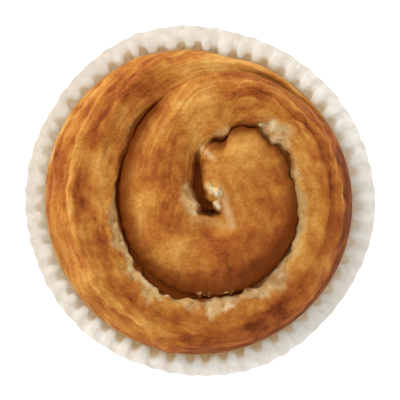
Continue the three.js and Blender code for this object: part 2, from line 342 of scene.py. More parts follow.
def stroke(plan, line):
    """Distance from each point to a line, less the line's half width there: negative inside the stroke. The
    half width runs evenly from place to place."""
    best = np.full(plan.shape[:-1], np.inf)
    for (x0, y0, w0), (x1, y1, w1) in zip(line[:-1], line[1:]):
        start, run = np.array([x0, y0]), np.array([x1 - x0, y1 - y0])
        t = np.clip((plan - start) @ run / (run @ run), 0, 1)
        near = np.linalg.norm(plan - start - t[..., None] * run, axis=-1)
        best = np.minimum(best, near - mix(w0, w1, t))
    return best


ragged = uneven(smooth_coil, (0.16, 1.6, 14), (0.2, 3.5, 15))
slit = np.minimum(stroke(plan, SLIT), stroke(plan, SLIT_FOOT)) + SLIT_RAGGED * ragged
bevel = stroke(plan, BEVEL)
in_slit = 1 - smooth(slit, *SLIT_EDGE)
smooth_coil[..., 2] -= BEVEL_DEPTH * (1 - smooth(bevel, *BEVEL_EDGE))
smooth_coil[..., 2] -= in_slit * np.maximum(smooth_coil[..., 2] - SLIT_FLOOR, 0)
lump = np.max([
    1 - smooth(stroke(plan, line) + LUMP_RAGGED * ragged, *LUMP_EDGE) for line in LUMPS
], axis=0)
smooth_coil[..., 2] += LUMP_HEIGHT * lump

# %% [markdown]
# ## Folds and flakes as relief
# Laminated dough bakes into sheets, and each sheet that ends on top of the next leaves an edge. A fold is a
# line along the strip: inside it the surface rises gently, and outside it drops within half a millimetre.

# %% The folds that the photograph shows
# (from angle, to angle, place across at the start, middle and end, height)
FOLDS = [
    (128, 238, 0.7, 0.66, 0.93, 0.35),
    (364, 472, 0.72, 0.56, 0.5, 1.0),
    (366, 468, 0.84, 0.76, 0.8, 0.9),
    (470, 560, 0.84, 0.86, 0.8, 0.7),
    (545, 606, 0.89, 0.88, 0.84, 0.9),
    (552, 606, 0.71, 0.7, 0.66, 0.8),
    (570, 642, 0.5, 0.3, 0.12, 0.9),
    (590, 670, 0.5, 0.33, 0.48, 1.0),
    (588, 678, 0.72, 0.64, 0.75, 1.0),
    (655, 708, 0.45, 0.54, 0.86, 1.0),
    (634, 704, 0.83, 0.87, 0.92, 0.8),
]
FOLD_WIDTH = 0.15
# In fold widths: how much steeper the drop is, and where the brow and the foot lie (place, width).
DROP_STEEPNESS = 6
BROW, FOOT = (0.08, 0.2), (-0.3, 0.24)


def folds(angle, across):
    """Height of the folds, and from 0 to 1 how near each place is to the brow and to the foot of one. A
    fold's line is a parabola over the angle; it rises as a wide bell and drops as a narrow one."""
    height, brow, foot = (np.zeros_like(across) for _ in range(3))
    for number, (start, end, first, middle, final, size) in enumerate(FOLDS):
        t = np.clip((angle - start) / (end - start), 0, 1)
        bow = 4 * (middle - (first + final) / 2)
        wobble = uneven(angle[..., None], (0.012, 22, 40 + number), (0.006, 7, 60 + number))
        inside = (mix(first, final, t) + bow * t * (1 - t) + wobble - across) / FOLD_WIDTH
        fade = np.sqrt(np.sin(np.pi * t))
        height += size * fade * bell(np.where(inside > 0, 1, DROP_STEEPNESS) * inside, 0, 1)
        brow = np.maximum(brow, fade * size * bell(inside, *BROW))
        foot = np.maximum(foot, fade * size * bell(inside, *FOOT))
    return height, brow, foot


fold_height, brow, foot = folds(angle, across)

# %% [markdown]
# ## Fine relief
# Between the folds the crust swells and sags over a centimetre, blisters over a few millimetres, and carries
# the fine lines of its lamination, which are weaker on the smooth first turn and on the lower right. Past
# the skin's ragged border the crumb lies lower and is rough.

# %% Lamination, blisters and crumb
LAMINATION_SPACING = 1.5
STREAK_LENGTH = 16.0
LAMINATION_SLANT = 0.1
SKIN_THICKNESS = 0.35
FINER_LINES = 2.2
LINE_HEIGHT = 0.07
FIRST_TURN_LINES, LOWER_RIGHT_LINES = 0.3, 0.6
BLISTER_SIZE, BLISTER_HEIGHT = 3.4, 0.2
SKIN_EDGE = (-0.03, 0.05)
FLAT_EDGE = 1.2
NARROW_STRIP = 6.0

middle_of_strip = (distance[:, :1] + distance[:, -1:]) / 2
strip_mm = np.cumsum(np.radians(TURN / COLUMNS) * middle_of_strip, axis=0) * np.ones(STEPS_ACROSS + 1)
slanted_mm = across_mm + LAMINATION_SLANT * strip_mm
long_and_narrow = np.stack([strip_mm / STREAK_LENGTH, slanted_mm / LAMINATION_SPACING], axis=-1)
lower_right = smooth(angle, 400, 440) * (1 - smooth(angle, 530, 580))
line_strength = mix(FIRST_TURN_LINES, 1, smooth(angle, 230, 330)) * mix(1, LOWER_RIGHT_LINES, lower_right)
wide_lines = waves(long_and_narrow, 1, 2, 40)
fine_lines = waves(FINER_LINES * long_and_narrow, 1, 3, 40)
lines = line_strength * (0.8 * wide_lines + 0.8 * fine_lines)
blisters = smooth(waves(smooth_coil, BLISTER_SIZE, 4), 0.5, 1.5)
from_edges = np.minimum(across_mm, width - across_mm)
torn_line = crumb_reach(angle) * (1 + uneven(smooth_coil, (0.35, 5, 21)))
torn_line = torn_line + torn * uneven(smooth_coil, (0.03, 1.8, 22))
skin = mix(1, smooth(across, torn_line + SKIN_EDGE[0], torn_line + SKIN_EDGE[1]), walled)
relief = uneven(smooth_coil, (0.4, 13, 1), (0.16, 4.5, 7)) + fold_height
relief = relief + LINE_HEIGHT * lines + BLISTER_HEIGHT * blisters - SKIN_THICKNESS * (1 - skin)
relief = relief + (1 - skin) * uneven(smooth_coil, (0.06, 1.3, 5), (0.16, 3, 6))
relief = relief * smooth(from_edges, 0, FLAT_EDGE) * np.clip(width / NARROW_STRIP, 0, 1)
print("relief from", round(float(relief.min()), 2), "to", round(float(relief.max()), 2), "mm")


# %% The coil's points
def normals_of(grid):
    """Outward unit normals of a grid of points: the cross product of its two grid directions."""
    normal = np.cross(np.gradient(grid, axis=0), np.gradient(grid, axis=1))
    return normal / np.maximum(np.linalg.norm(normal, axis=-1, keepdims=True), TINY)


coil_points = smooth_coil + relief[..., None] * normals_of(smooth_coil)
print("crown top", round(float(coil_points[..., 2].max()), 2), "mm")

# %% [markdown]
# ## Browning and painted light, written across the strip
# The crust is brown where it stood proud and near the top heat, golden where it was sheltered, and pale
# where it tore after the crust had set. Large patches follow the photograph, and each is a soft ellipse on
# the strip; a few of them are painted shade on outer slopes turned away from the light, and painted
# highlights on top of the mound. A fold's brow is painted a little paler, a painted highlight, and its foot
# darker, painted shade. 0 is straw and 1 is red-brown.

# %% Patches of browning and of paler dough, a few of them painted shade and painted highlights
# Painted light among them: (110, 0.88), (150, 0.84), (165, 0.8), (442, 0.92) and (508, 0.85) darken the
# outer slopes at the right and lower right, turned away from the light, partly as painted shade; (30, 0.72)
# and (50, 0.5) are painted highlights on top of the mound.
# (angle, place across, half length in degrees, half width across, change in browning)
BROWNING_AND_PAINTED_LIGHT_PATCHES = [
    (17, 0.8, 16, 0.14, -0.15), (30, 0.72, 20, 0.14, -0.18), (40, 0.3, 12, 0.12, -0.07),
    (50, 0.5, 14, 0.08, -0.14), (65, 0.62, 25, 0.22, 0.12), (80, 0.3, 60, 0.2, -0.06),
    (110, 0.88, 50, 0.14, 0.22), (113, 0.47, 26, 0.16, 0.19), (150, 0.84, 55, 0.14, 0.16),
    (165, 0.36, 24, 0.11, 0.2), (165, 0.5, 38, 0.24, 0.2), (165, 0.8, 40, 0.12, 0.12),
    (205, 0.24, 20, 0.08, 0.16), (228, 0.6, 14, 0.16, -0.2), (240, 0.68, 34, 0.09, 0.04),
    (250, 0.28, 18, 0.1, -0.12), (268, 0.54, 20, 0.11, 0.2), (290, 0.8, 15, 0.13, -0.1),
    (298, 0.5, 14, 0.12, 0.12), (300, 0.8, 14, 0.1, 0.08), (318, 0.35, 12, 0.1, 0.08),
    (322, 0.5, 18, 0.2, 0.14), (345, 0.72, 12, 0.12, -0.13), (352, 0.5, 13, 0.6, -0.13),
    (372, 0.92, 16, 0.05, 0.2), (376, 0.66, 12, 0.09, 0.3), (408, 0.85, 22, 0.05, -0.16),
    (415, 0.66, 40, 0.06, 0.14), (425, 0.36, 30, 0.09, -0.12), (438, 0.56, 36, 0.11, 0.18),
    (440, 0.7, 30, 0.04, 0.1), (440, 0.82, 25, 0.05, -0.08), (442, 0.92, 48, 0.12, 0.42),
    (447, 0.4, 20, 0.12, -0.07), (448, 0.86, 32, 0.08, 0.28), (450, 0.08, 40, 0.13, -0.42),
    (490, 0.5, 18, 0.1, 0.08), (503, 0.55, 14, 0.12, 0.28), (508, 0.85, 22, 0.18, 0.26),
    (515, 0.62, 12, 0.12, 0.22), (525, 0.94, 38, 0.08, 0.3), (530, 0.76, 18, 0.14, 0.2),
    (543, 0.72, 10, 0.12, 0.22), (562, 0.42, 10, 0.14, 0.2), (563, 0.86, 12, 0.08, 0.24),
    (583, 0.62, 14, 0.08, -0.14), (590, 0.48, 14, 0.1, 0.16), (600, 0.97, 70, 0.06, -0.08),
    (608, 0.75, 10, 0.06, -0.18), (618, 0.33, 16, 0.09, 0.26), (628, 0.95, 26, 0.05, 0.2),
    (634, 0.65, 15, 0.05, -0.26), (637, 0.52, 13, 0.09, 0.26), (640, 0.9, 18, 0.05, 0.12),
    (645, 0.25, 22, 0.1, -0.18), (645, 0.66, 22, 0.05, -0.08), (648, 1, 50, 0.04, -0.3),
    (650, 0.8, 13, 0.08, 0.24), (676, 0.5, 15, 0.12, 0.28), (684, 0.68, 12, 0.14, 0.12),
    (694, 0.3, 12, 0.16, 0.2), (712, 0.74, 14, 0.13, 0.12), (720, 0.5, 16, 0.9, -0.12),
    (740, 0.6, 20, 0.9, -0.14),
]
# Pale crumb beside the slit and the crack, as seen from above: (strength, line).
PALE_STROKES = [
    (1, [(-3.2, 3.4, 0.5), (-2.6, 0.8, 1.6), (-1.5, -1.8, 1.5)]),
    (1, [(0.9, 13, 0.3), (2.1, 11.3, 0.5), (3.3, 10.1, 0.3)]),
    (1, [(4.6, 15.9, 0.5), (6.3, 17, 0.7)]),
    (1, [(15.6, 17.8, 0.9), (17.8, 16.6, 1.6), (20.3, 14.6, 1.0)]),
    (0.5, [(4.9, 3.2, 0.4), (5.9, 0.8, 0.9), (6.8, -2.4, 1.0), (7.8, -6, 0.7)]),
    (0.4, [(-1.2, -4.4, 0.4), (3.6, -4.9, 0.6), (7, -6.4, 0.5)]),
]
MEAN_BROWNING = 0.5
# A fold's brow is made paler, a painted highlight, and its foot darker, painted shade.
LINE_BROWNING, FOLD_BROW_PAINTED_HIGHLIGHT, FOLD_FOOT_PAINTED_SHADE = 0.08, -0.1, 0.16

uneven_across = across + uneven(smooth_coil, (0.02, 6, 33))
uneven_angle = angle + uneven(smooth_coil, (3, 6, 34))
bake = MEAN_BROWNING + uneven(smooth_coil, (0.07, 9, 31), (0.05, 2.6, 32)) + LINE_BROWNING * lines
for at, place_across, half_length, half_width, change in BROWNING_AND_PAINTED_LIGHT_PATCHES:
    patch = bell(uneven_angle, at, half_length) * bell(uneven_across, place_across, half_width)
    bake = bake + change * patch
bake = bake + FOLD_BROW_PAINTED_HIGHLIGHT * brow + FOLD_FOOT_PAINTED_SHADE * foot
bake = mix(np.clip(bake, 0, 1), WHITE_CRUMB, lump)

# %% [markdown]
# ## Crumb and painted shade
# Both sides of the groove, and the slit, are painted a dark even brown: painted shade, for the shadow that
# falls into them. On the outer side of a turn this is the flank: it is darkest at the seam and reaches a few
# millimetres up. On the inner side it is the wall, which is left pale where the lip is torn right down. At
# the upper left the wall runs out, so its painted shade keeps close to the seam there. The crumb shows on
# the lip wherever the skin has gone, less on the right, where it has browned again.

# %% How far the crumb and the shade reach
# Painted shade along the strip: how strongly and how far the flank and the wall are painted dark.
flank_painted_shade_strength = curve_through(
    (-6, 0), (1, 0.9), (40, 0.9), (60, 0.6), (90, 1), (331, 1), (340, 0), (358, 0), (370, 0.4),
    (395, 0.25), (415, 0),
)
flank_painted_shade_reach = curve_through(
    (-20, 0.9), (12, 2.4), (40, 1.8), (90, 3.2), (130, 4), (290, 3.4), (325, 2.6), (370, 1.4),
)
wall_painted_shade_strength = curve_through(
    (354, 0), (361, 1), (383, 1), (391, 0.35), (402, 0.35), (410, 0.8), (425, 0.15), (490, 0.15),
    (506, 0.5), (516, 1), (692, 1), (700, 0),
)
wall_painted_shade_reach = curve_through((600, 9), (650, 3), (680, 1.6), (700, 1.2))
crumb_strength = curve_through((402, 1), (418, 0.35), (478, 0.35), (496, 1), (630, 1), (650, 0.6))
FLANK_SHARPNESS = 3
LOWEST_WALL = 1.5
PALE_RAGGED, PALE_EDGE = 0.8, (-0.8, 1)
SLIT_SHADE_EDGE = (-0.7, 0.7)
# Each begins at the first number and is full at the second: the crumb hiding and the wall's painted shade
# darkening, in shares of the way down the wall, and the painted shade fading, in shares of its reach from
# the seam.
CRUMB_HIDES, WALL_DARKENS, SHADE_FADES = (0.2, 0.45), (0.1, 0.4), (0.5, 1)

pale = np.max([
    strength * (1 - smooth(stroke(plan, line) + PALE_RAGGED * ragged, *PALE_EDGE))
    for strength, line in PALE_STROKES
], axis=0)
below_crest = crest - coil_points[..., 2]
wall_height = np.maximum(crest - inner_edge(angle)[1], LOWEST_WALL)
deep = np.where(step < CREST_PLACE, below_crest / wall_height, 0) * walled
# Where the wall is painted with shade, the crumb is hidden.
painted_shade_on_wall = wall_painted_shade_strength(angle) * smooth(deep, *CRUMB_HIDES)
skinless = crumb_strength(angle) * (1 - skin) * (1 - painted_shade_on_wall)
crumb = np.clip(np.max([skinless, pale, lump], axis=0), 0, 1)
from_outer = width - across_mm
# Painted shade on the flank, the wall and in the slit, mixed towards dark brown in the crust's shader.
flank_painted_shade = flank_painted_shade_strength(angle) * np.exp(-((from_outer / flank_painted_shade_reach(angle)) ** FLANK_SHARPNESS))
near_seam = 1 - smooth(across_mm / wall_painted_shade_reach(angle), *SHADE_FADES)
wall_painted_shade = wall_painted_shade_strength(angle) * smooth(deep, *WALL_DARKENS) * near_seam
gap = np.max([wall_painted_shade, flank_painted_shade, 1 - smooth(slit, *SLIT_SHADE_EDGE)], axis=0) * (1 - lump)
print("browning from", round(float(bake.min()), 2), "to", round(float(bake.max()), 2))

# %% [markdown]
# ## One closed body of dough
# A column's inner edge is the outer edge of the column one turn back, so neighbouring turns share their
# points at the bottom of the seam and the body is one closed skin. Below the shoulder the sides taper down
# inside the case to the flat underside.

# %% The foot of the dough, ring by ring
CASE_THICKNESS = 0.35
FOOT_GAP = 0.3
FOOT_RADIUS = 27.4
FOOT_CORNER = 2.0
FOOT_ROWS = 20
FOOT_ROW_HEIGHT = 1.7
# The foot, hidden in the case, has one browning and a little painted shade.
FOOT_BROWNING, FOOT_SHADE = 0.35, 0.1

underside = CASE_THICKNESS + FOOT_GAP
shoulder = coil_points[last - COLUMNS : last, STEPS_ACROSS]
share = np.linspace(0, 1, FOOT_ROWS + 1)[1:, None]
foot_z = mix(SHOULDER_HEIGHT, FOOT_CORNER, share)
taper = (SHOULDER_HEIGHT - foot_z) / (SHOULDER_HEIGHT - underside)
radius = np.hypot(shoulder[:, 0], shoulder[:, 1])
foot_radius = mix(radius, FOOT_RADIUS, taper)
bearing = np.arctan2(shoulder[:, 0], shoulder[:, 1])
rings = np.stack(
    [foot_radius * np.sin(bearing), foot_radius * np.cos(bearing), foot_z * np.ones(COLUMNS)], axis=-1
)
base_ring = rings[-1] * (FOOT_RADIUS - FOOT_CORNER) / FOOT_RADIUS
base_ring[:, 2] = underside
rings = np.concatenate([rings, base_ring[None]])


# %% Meshes from arrays
def new_piece(name, points, faces, uv=None, attributes=None):
    """A smooth-shaded object at the origin from points in mm, faces as index rows, a UV pair for each face
    corner, and named numbers for each point."""
    mesh = bpy.data.meshes.new(name)
    mesh.from_pydata((points * MM).tolist(), [], faces)
    mesh.polygons.foreach_set("use_smooth", np.ones(len(mesh.polygons), bool))
    if uv is not None:
        layer = mesh.uv_layers.new(name="strip")
        layer.data.foreach_set("uv", np.asarray(uv, np.float32).ravel())
    for key, values in (attributes or {}).items():
        layer = mesh.attributes.new(key, "FLOAT", "POINT")
        layer.data.foreach_set("value", np.asarray(values, np.float32).ravel())
    mesh.update()
    piece = bpy.data.objects.new(name, mesh)
    bpy.context.scene.collection.objects.link(piece)
    print(name, len(mesh.vertices), "points,", len(mesh.polygons), "faces")
    return piece


def grid_faces(ids):
    """Quads of a grid of point numbers, as rows of four, and the grid places of their corners."""
    i, j = np.meshgrid(np.arange(ids.shape[0] - 1), np.arange(ids.shape[1] - 1), indexing="ij")
    corners = [(i, j), (i + 1, j), (i + 1, j + 1), (i, j + 1)]
    rows = np.stack([ids[a, b] for a, b in corners], axis=-1).reshape(-1, 4)
    where = np.stack([np.stack([a, b], axis=-1) for a, b in corners], axis=-2).reshape(-1, 4, 2)
    return rows, where


def without_repeats(rows):
    """Face rows as lists, a quad with a repeated point becoming a triangle. Also gives the order of the rows
    and which of their corners were kept."""
    kept = rows != np.roll(rows, 1, axis=1)
    whole = kept.all(axis=1)
    three = kept.sum(axis=1) == 3
    triangles = [row[keep].tolist() for row, keep in zip(rows[three], kept[three])]
    order = np.r_[np.flatnonzero(whole), np.flatnonzero(three)]
    return rows[whole].tolist() + triangles, order, kept[order]


# %% Sewing the coil and the foot into one body
ids = np.arange(angle.size).reshape(angle.shape)
eye_id = ids[0, 0]
ids[0, :] = eye_id
ids[:COLUMNS, 0] = eye_id
ids[COLUMNS:, 0] = ids[: last + 1 - COLUMNS, STEPS_ACROSS]
ids[last, :] = ids[last - COLUMNS, STEPS_ACROSS]
coil_rows, coil_where = grid_faces(ids)
coil_faces, order, kept = without_repeats(coil_rows)

ring_start = ids.size
ring_ids = ring_start + np.arange(len(rings) * COLUMNS).reshape(-1, COLUMNS)
side_ids = np.vstack([ids[last - COLUMNS : last, STEPS_ACROSS], ring_ids])
side_rows, side_where = grid_faces(np.hstack([side_ids, side_ids[:, :1]]))
side_rows, side_where = side_rows[:, ::-1], side_where[:, ::-1]
centre_id = ring_start + ring_ids.size
bottom_rows = np.stack([np.full(COLUMNS, centre_id), ring_ids[-1], np.roll(ring_ids[-1], -1)], axis=-1)

strip_uv = np.stack([strip_mm, across_mm], axis=-1)
coil_uv = strip_uv[coil_where[order][..., 0], coil_where[order][..., 1]][kept]
column_width = np.radians(TURN / COLUMNS) * SHOULDER_RADIUS
side_uv = side_where[..., ::-1].reshape(-1, 2) * np.array([column_width, FOOT_ROW_HEIGHT])
all_points = np.concatenate([coil_points.reshape(-1, 3), rings.reshape(-1, 3), [[0, 0, underside]]])
used = np.unique(np.r_[coil_rows.ravel(), side_rows.ravel(), bottom_rows.ravel()])
renumber = np.full(len(all_points), -1)
renumber[used] = np.arange(len(used))
faces = [renumber[face].tolist() for face in coil_faces]
faces += renumber[side_rows].tolist() + renumber[bottom_rows].tolist()


def for_all(coil_values, foot_value):
    """One number for each used point: the coil's own, and the same one for the whole foot."""
    return np.r_[coil_values.ravel(), np.full(len(all_points) - ring_start, foot_value)][used]


dough = new_piece(
    "coiled_dough", all_points[used], faces, np.concatenate([coil_uv, side_uv, np.zeros((3 * COLUMNS, 2))]),
    {"bake": for_all(bake, FOOT_BROWNING), "crumb": for_all(crumb, 0), "gap": for_all(gap, FOOT_SHADE)},
)

# %% [markdown]
# ## The paper case
# A muffin case is a disc of thin greaseproof paper pressed into pleats. The folds are deepest where the
# dough has pushed them together, at its shoulder, and open above it into a rim that is nearly smooth. A
# sheet of one thickness is built as two grids, outside and inside, that meet at the rim. Up to the shoulder
# the paper is tan, mostly from inside, and more at the top and bottom of the picture: partly butter soaked
# into it, partly painted shade in the deep folds beside the dough.

# %% The wall of the case
CASE_HEIGHT = 42.0
PLEATS = 55
PAPER_THICKNESS = 0.13
STEPS_PER_PLEAT = 16
RIM_LOBES = [(2, -37, 0.3), (3, -30, 0.28), (4, -16, 0.27), (6, -21, 0.17)]
RIM_RISE = 0.35
FOLD_SHAPE = (-0.75, 0.85)
PLEAT_SHIFT, PLEAT_LEAN, PLEAT_SWING = 0.1, 0.12, 0.2

inner_fold = curve_through(
    (0, 28.2), (3, 29.4), (20, 33.65), (SHOULDER_HEIGHT, 38.05), (40, 40.8), (CASE_HEIGHT, 42.4),
)
fold_depth = curve_through(
    (0, 0.5), (3, 0.6), (30, 1.6), (SHOULDER_HEIGHT, 1.7), (40, 0.9), (CASE_HEIGHT, 0.2),
)
follow = curve_through((0, 0), (3, 0), (SHOULDER_HEIGHT, 1), (CASE_HEIGHT, 0))
wall_z = np.r_[0.0, 0.4, 1, 2, np.linspace(3.5, 36, 16), np.linspace(37, CASE_HEIGHT, 14)]
turns = np.arange(PLEATS * STEPS_PER_PLEAT) / (PLEATS * STEPS_PER_PLEAT)
own_numbers = np.random.default_rng(8).uniform(-1, 1, (3, PLEATS))


def case_wall(z, inwards):
    """Points of the sheet at heights z, less inwards: the inner folds' radius, plus the fold's depth where
    the pleat's cosine is high, plus how far the wall follows the dough and, above it, the rim's lobes. Each
    pleat has its own depth, place and lean, and the sheet is a little crumpled."""
    z = z[:, None]
    up = z / CASE_HEIGHT
    pleat = turns * PLEATS
    index = pleat.astype(int) % PLEATS
    blend = smooth(pleat - index, 0, 1)
    shift, swing, lean = mix(own_numbers[:, index], own_numbers[:, (index + 1) % PLEATS], blend)
    phase = pleat + PLEAT_SHIFT * shift + PLEAT_LEAN * up**3 * lean
    outward = smooth(np.cos(2 * np.pi * phase), *FOLD_SHAPE)
    bearing = 2 * np.pi * turns
    hug = follow(z)
    r = inner_fold(z) + hug * swell(bearing) + (1 - hug) * up**2 * lobed(RIM_LOBES, bearing)
    r = r + outward * fold_depth(z) * (1 + PLEAT_SWING * swing) - inwards
    rise = RIM_RISE * up**4 * (np.sin(3 * bearing + 1) + 0.7 * swing * outward)
    east, north = np.sin(bearing), np.cos(bearing)
    points = np.stack(
        [hug * SHOULDER_CENTRE[0] + r * east, hug * SHOULDER_CENTRE[1] + r * north, z + rise], axis=-1
    )
    crumple = up * uneven(points, (0.07, 5, 71), (0.05, 2.2, 72))
    return points + crumple[..., None] * np.stack([east, north, 0 * east], axis=-1)


# %% The sheet, closed at its floor
GREASE_HEIGHT, GREASE_FADE = 36.6, 1.5
GREASE_OUTSIDE = 0.3
GREASE_PATCHES = (0.4, 1)

outside = case_wall(wall_z, 0.0)
inside = case_wall(wall_z, PAPER_THICKNESS)
inside[0, :, 2] += PAPER_THICKNESS
sheet = np.concatenate([outside, inside[::-1]])
sheet_ids = np.arange(sheet[..., 0].size).reshape(sheet.shape[:2])
sheet_rows, _ = grid_faces(np.hstack([sheet_ids, sheet_ids[:, :1]]))
below_id, above_id = sheet_ids.size, sheet_ids.size + 1
below_rows = np.stack([np.full(len(turns), below_id), sheet_ids[0], np.roll(sheet_ids[0], -1)], axis=-1)
above_rows = np.stack([np.full(len(turns), above_id), np.roll(sheet_ids[-1], -1), sheet_ids[-1]], axis=-1)
sheet_points = np.concatenate([sheet.reshape(-1, 3), [[0, 0, 0], [0, 0, PAPER_THICKNESS]]])
# Tan below the grease line: partly butter soaked into the paper, partly painted shade in the deep folds.
grease_line = GREASE_HEIGHT + uneven(sheet_points[:, :2], (0.5, 12, 81), (0.4, 3.5, 82))
shows_inside = np.r_[np.zeros(outside[..., 0].size), np.ones(inside[..., 0].size), 0, 1]
round_the_case = np.arctan2(sheet_points[:, 0], sheet_points[:, 1])
patchy = mix(*GREASE_PATCHES, (1 + np.cos(2 * round_the_case)) / 2)
grease = 1 - smooth(sheet_points[:, 2], grease_line - GREASE_FADE, grease_line + GREASE_FADE)
grease = grease * patchy * mix(GREASE_OUTSIDE, 1, shows_inside)
case_faces = sheet_rows.tolist() + below_rows.tolist() + above_rows.tolist()
case = new_piece("pleated_paper", sheet_points, case_faces, None, {"grease": grease})

# %% [markdown]
# ## Torn flakes and crumbs
# Croissant dough sheds. Thin flakes lift along the torn lip, and a few crumbs lie low on the flank, where
# the groove is open at the bottom of the picture. Each is a ball that is squashed, dented and, if thin,
# curled, half sunk in the dough. All of them are one mesh.

# %% One ball, and the places of the flakes
BALL_ROWS, BALL_COLUMNS = 9, 14
LIP_FLAKES, GROOVE_CRUMBS = 30, 10
LIP_ANGLES, LIP_TORN, LIP_STEP = (385, 640), 0.15, 10
LIP_PLACES = (0.55, 1.05)
GROOVE_ANGLES, GROOVE_STEPS = (160, 200), (51, 59)
# From and to: half the length, width and thickness of a flake, and half the size of a crumb.
FLAKE_SIZES = ((0.3, 0.6), (0.22, 0.42), (0.08, 0.14))
CRUMB_SIZES, CRUMB_SHAPE = (0.22, 0.42), (1.2, 1, 0.6)

draw = np.random.default_rng(9)


def even(low, high, count):
    """Random numbers spread evenly from low to high."""
    return draw.uniform(low, high, count)


def columns_at(angles):
    """The grid column nearest to each angle."""
    return np.round((angles - SEAM_START) * COLUMNS / TURN).astype(int)


def steps_at(columns, across_wanted):
    """The step of each column that is nearest to a share across."""
    return np.abs(across[columns] - across_wanted[:, None]).argmin(axis=1)


on_lip = (angle[:, 0] > LIP_ANGLES[0]) & (angle[:, 0] < LIP_ANGLES[1])
lip_columns = draw.choice(np.flatnonzero((torn[:, 0] > LIP_TORN) & on_lip), LIP_FLAKES)
lip_steps = steps_at(lip_columns, torn_line[lip_columns, LIP_STEP] * even(*LIP_PLACES, LIP_FLAKES))
groove_columns = columns_at(even(*GROOVE_ANGLES, GROOVE_CRUMBS))
groove_steps = draw.integers(*GROOVE_STEPS, GROOVE_CRUMBS)

columns = np.r_[lip_columns, groove_columns]
steps = np.r_[lip_steps, groove_steps]
half_sizes = np.vstack([
    np.stack([even(*sizes, LIP_FLAKES) for sizes in FLAKE_SIZES], axis=-1),
    even(*CRUMB_SIZES, GROOVE_CRUMBS)[:, None] * np.array(CRUMB_SHAPE),
])
turned = np.radians(np.r_[even(-50, 50, LIP_FLAKES), even(0, 180, GROOVE_CRUMBS)])
flake_bake = np.r_[even(0.3, 0.6, LIP_FLAKES), even(0.4, 0.8, GROOVE_CRUMBS)]
flake_crumb = np.r_[even(0.4, 0.9, LIP_FLAKES), even(0.2, 0.5, GROOVE_CRUMBS)]

# %% The mesh of flakes
APART = 20.0
THIN = 0.3
CURL = 0.2

polar = np.pi * np.arange(1, BALL_ROWS + 1)[:, None] / (BALL_ROWS + 1)
around = 2 * np.pi * np.arange(BALL_COLUMNS) / BALL_COLUMNS
belt = np.stack(
    [np.sin(polar) * np.cos(around), np.sin(polar) * np.sin(around), np.cos(polar) + 0 * around], axis=-1
)
ball = np.vstack([[0, 0, 1], belt.reshape(-1, 3), [0, 0, -1]])
belt_ids = 1 + np.arange(BALL_ROWS * BALL_COLUMNS).reshape(BALL_ROWS, BALL_COLUMNS)
belt_rows, _ = grid_faces(np.hstack([belt_ids, belt_ids[:, :1]]))
top, bottom = belt_ids[0], belt_ids[-1]
top_rows = np.stack([0 * top, top, np.roll(top, -1)], axis=-1)
bottom_rows_of_ball = np.stack([0 * top + len(ball) - 1, np.roll(bottom, -1), bottom], axis=-1)

count = len(columns)
own_place = APART * np.arange(count)[:, None, None]
dents = uneven(ball + own_place, (0.2, 1.5, 91), (0.1, 0.6, 92))
local = ball * (1 + dents[..., None]) * half_sizes[:, None]
thin = half_sizes[:, 2:] < THIN * half_sizes[:, :1]
local[..., 2] += np.where(thin, CURL, 0) * local[..., 0] ** 2 / half_sizes[:, :1]

outward = normals_of(coil_points)[columns, steps]
onward = np.gradient(coil_points, axis=0)[columns, steps]
onward -= (onward * outward).sum(axis=-1, keepdims=True) * outward
onward /= np.maximum(np.linalg.norm(onward, axis=-1, keepdims=True), TINY)
sideways = np.cross(outward, onward)
cos, sin = np.cos(turned)[:, None], np.sin(turned)[:, None]
axes = np.stack([cos * onward + sin * sideways, cos * sideways - sin * onward, outward], axis=1)
flake_points = coil_points[columns, steps][:, None] + local @ axes
first_id = (np.arange(count) * len(ball))[:, None, None]
flake_faces = [row for rows in (belt_rows, top_rows, bottom_rows_of_ball)
               for row in (rows[None] + first_id).reshape(-1, rows.shape[1]).tolist()]
per_point = np.ones(len(ball))
flakes = new_piece(
    "torn_flakes_and_crumbs", flake_points.reshape(-1, 3), flake_faces, None,
    {"bake": np.outer(flake_bake, per_point), "crumb": np.outer(flake_crumb, per_point),
     "gap": np.zeros(count * len(ball))},
)

# %% [markdown]
# ## Materials
# Every finish starts from what it really is. One function turns a colour as seen on screen into the linear
# numbers that the shader wants, and one adds a node with its settings and links.


# %% Helpers for materials
def colour(text):
    """Linear red, green, blue and 1 from an sRGB hex value."""
    value = np.array([int(text[i : i + 2], 16) for i in (1, 3, 5)]) / 255
    linear = np.where(value <= 0.04045, value / 12.92, ((value + 0.055) / 1.055) ** 2.4)
    return (*linear.tolist(), 1.0)


def node(tree, kind, inputs=None, **settings):
    """Adds a node. settings are its properties; inputs maps a socket's name or number to a value, or to a
    (node, output name or number) pair to link from."""
    made = tree.nodes.new(kind)
    for key, value in settings.items():
        setattr(made, key, value)
    for key, value in (inputs or {}).items():
        if isinstance(value, tuple) and isinstance(value[0], bpy.types.Node):
            tree.links.new(value[0].outputs[value[1]], made.inputs[key])
        else:
            made.inputs[key].default_value = value
    return made


def new_material(name):
    """A material with an empty node tree and its output node."""
    material = bpy.data.materials.new(name)
    material.use_nodes = True
    material.node_tree.nodes.clear()
    return material, material.node_tree, material.node_tree.nodes.new("ShaderNodeOutputMaterial")


def ramp(tree, factor, stops):
    """A colour ramp with (place, hex) stops."""
    made = node(tree, "ShaderNodeValToRGB", {0: factor})
    elements = made.color_ramp.elements
    while len(elements) < len(stops):
        elements.new(0.5)
    for element, (place_on_ramp, text) in zip(elements, stops):
        element.position = place_on_ramp
        element.color = colour(text)
    return made


